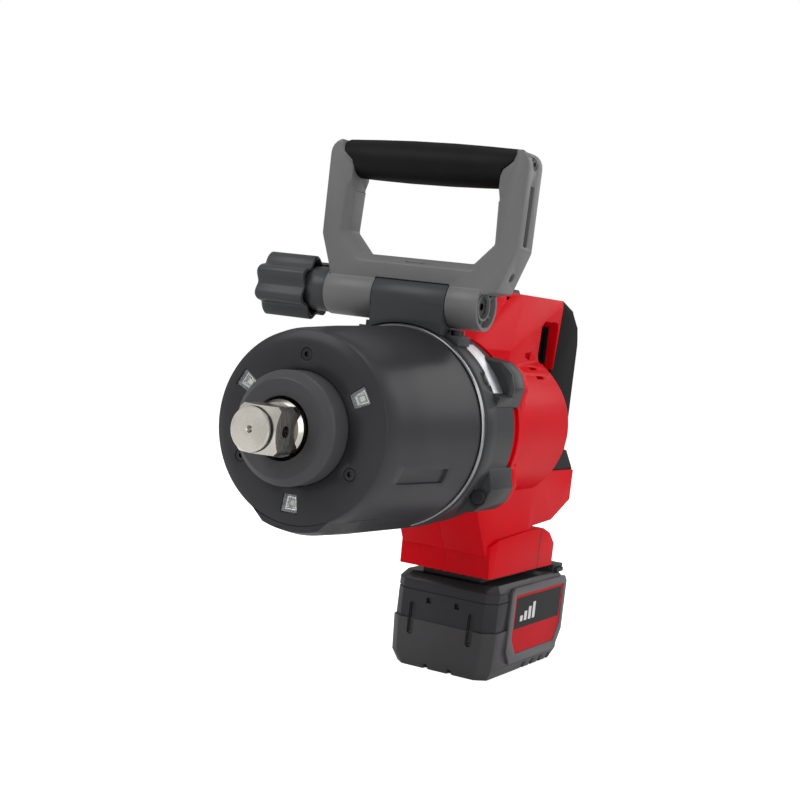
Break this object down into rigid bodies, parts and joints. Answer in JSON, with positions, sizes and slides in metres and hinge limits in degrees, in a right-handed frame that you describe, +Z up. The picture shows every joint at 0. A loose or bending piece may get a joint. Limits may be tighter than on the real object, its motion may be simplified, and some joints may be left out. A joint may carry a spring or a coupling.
{
  "type": "impact wrench",
  "caption": "Cordless impact wrench with a one-inch square drive, a tilting loop handle over the gear case, a rear D-handle with trigger and a slide-on battery.",
  "frame": {"origin": "middle of the underside of the battery", "axes": "+X to the tool's left, -Y forward along the anvil, +Z up"},
  "size_m": [0.175, 0.4034, 0.3435],
  "materials": {
    "charcoal": "moulded, fine grain",
    "red": "satin moulded",
    "black_rubber": "textured overmould",
    "black_plastic": "moulded, fine grain",
    "grey_plastic": "moulded, fine grain",
    "dark_plastic": "moulded, fine grain",
    "case_metal": "cast",
    "steel": "turned",
    "dark_steel": "black oxide",
    "bronze": "sintered",
    "copper": "enamelled",
    "board": "coated",
    "lens": "clear",
    "cell": "wrapped",
    "label": "printed film"
  },
  "bodies": {
    "tool": {"nose_cover": "charcoal", "nose_boss": "charcoal", "nose_screws": "dark_steel", "led_lenses": "lens", "led_board": "board", "hammer_case": "case_metal", "retaining_ring": "steel", "gearcase_boot": "dark_plastic", "case_screws": "dark_steel", "anvil_bushing": "bronze", "shaft_seal": "black_rubber", "ring_gear": "steel", "gear_plate": "case_metal", "front_bearing": "steel", "rear_bearing": "steel", "stator": "dark_steel", "stator_coils": "copper", "housing_left": "red", "housing_right": "red", "housing_screws": "dark_steel", "grip_overmold": "black_rubber", "trigger_spring": "steel", "trigger_switch": "black_plastic", "lever_seat": "black_plastic", "control_panel": "black_plastic", "control_board": "board", "handle_base": "dark_plastic", "handle_base_bolts": "steel", "battery_shoe": "black_plastic", "terminal_block": "copper"},
    "anvil": {"anvil": "steel", "friction_ring": "dark_steel", "anvil_o_ring": "black_rubber"},
    "camshaft": {"camshaft": "steel", "cam_balls": "steel", "planet_pins": "steel", "hammer_spring": "steel"},
    "hammer": {"hammer": "steel"},
    "planet_1": {"planet_gear_1": "steel"},
    "planet_2": {"planet_gear_2": "steel"},
    "planet_3": {"planet_gear_3": "steel"},
    "rotor": {"rotor": "dark_steel", "fan": "black_plastic"},
    "trigger": {"trigger": "black_plastic"},
    "direction_lever": {"direction_lever": "dark_plastic"},
    "mode_button": {"mode_button": "dark_plastic"},
    "handle": {"handle_frame": "grey_plastic", "handle_plugs": "dark_plastic", "loop_grip": "black_rubber", "handle_collar": "dark_plastic"},
    "knob": {"handle_knob": "dark_plastic", "handle_bolt": "steel"},
    "battery": {"battery_lower_case": "charcoal", "battery_bezels": "grey_plastic", "battery_labels": "label", "battery_upper_case": "black_plastic", "battery_cells": "cell"},
    "latch_left": {"latch_button_left": "dark_plastic"},
    "latch_right": {"latch_button_right": "dark_plastic"},
    "gauge_button": {"gauge_button": "dark_plastic"}
  },
  "joints": [
    {"name": "camshaft_spin", "type": "hinge", "parent": "tool", "child": "camshaft", "pos_m": [0, -0.164, 0.169], "axis": [0, 1, 0], "continuous": true},
    {"name": "hammer_slide", "type": "slide", "parent": "camshaft", "child": "hammer", "axis": [0, 1, 0], "range_m": [0, 0.011], "stiffness_N_per_m": 25000, "deforming": ["hammer_spring"]},
    {"name": "anvil_spin", "type": "hinge", "parent": "tool", "child": "anvil", "pos_m": [0, -0.274, 0.169], "axis": [0, 1, 0], "continuous": true},
    {"name": "planet_1_spin", "type": "hinge", "parent": "camshaft", "child": "planet_1", "pos_m": [0, -0.154, 0.18925], "axis": [0, 1, 0], "continuous": true},
    {"name": "planet_2_spin", "type": "hinge", "parent": "camshaft", "child": "planet_2", "pos_m": [-0.01754, -0.154, 0.15887], "axis": [0, 1, 0], "continuous": true},
    {"name": "planet_3_spin", "type": "hinge", "parent": "camshaft", "child": "planet_3", "pos_m": [0.01754, -0.154, 0.15887], "axis": [0, 1, 0], "continuous": true},
    {"name": "rotor_spin", "type": "hinge", "parent": "tool", "child": "rotor", "pos_m": [0, -0.074, 0.169], "axis": [0, 1, 0], "continuous": true},
    {"name": "trigger_pull", "type": "slide", "parent": "tool", "child": "trigger", "axis": [0, 1, 0], "range_m": [0, 0.006], "stiffness_N_per_m": 600, "deforming": ["trigger_spring"]},
    {"name": "direction_shift", "type": "slide", "parent": "tool", "child": "direction_lever", "axis": [1, 0, 0], "range_m": [-0.003, 0.003]},
    {"name": "mode_press", "type": "slide", "parent": "tool", "child": "mode_button", "axis": [0, -0.6428, -0.766], "range_m": [0, 0.0008], "stiffness_N_per_m": 300},
    {"name": "handle_pivot", "type": "hinge", "parent": "tool", "child": "handle", "pos_m": [0, -0.152, 0.2464], "axis": [1, 0, 0], "range_deg": [-60, 60]},
    {"name": "knob_turn", "type": "hinge", "parent": "handle", "child": "knob", "pos_m": [-0.09, -0.152, 0.2464], "axis": [1, 0, 0], "continuous": true},
    {"name": "battery_slide", "type": "slide", "parent": "tool", "child": "battery", "axis": [0, 1, 0], "range_m": [0, 0.105]},
    {"name": "latch_left_press", "type": "slide", "parent": "battery", "child": "latch_left", "axis": [-1, 0, 0], "range_m": [0, 0.0015], "stiffness_N_per_m": 500},
    {"name": "latch_right_press", "type": "slide", "parent": "battery", "child": "latch_right", "axis": [1, 0, 0], "range_m": [0, 0.0015], "stiffness_N_per_m": 500},
    {"name": "gauge_press", "type": "slide", "parent": "battery", "child": "gauge_button", "axis": [0, -1, 0], "range_m": [0, 0.0008], "stiffness_N_per_m": 300}
  ],
  "couplings": [
    {"joint": "anvil_spin", "follows": "camshaft_spin", "ratio": 1},
    {"joint": "planet_1_spin", "follows": "camshaft_spin", "ratio": -2.8},
    {"joint": "planet_2_spin", "follows": "camshaft_spin", "ratio": -2.8},
    {"joint": "planet_3_spin", "follows": "camshaft_spin", "ratio": -2.8},
    {"joint": "rotor_spin", "follows": "camshaft_spin", "ratio": 4.5}
  ]
}
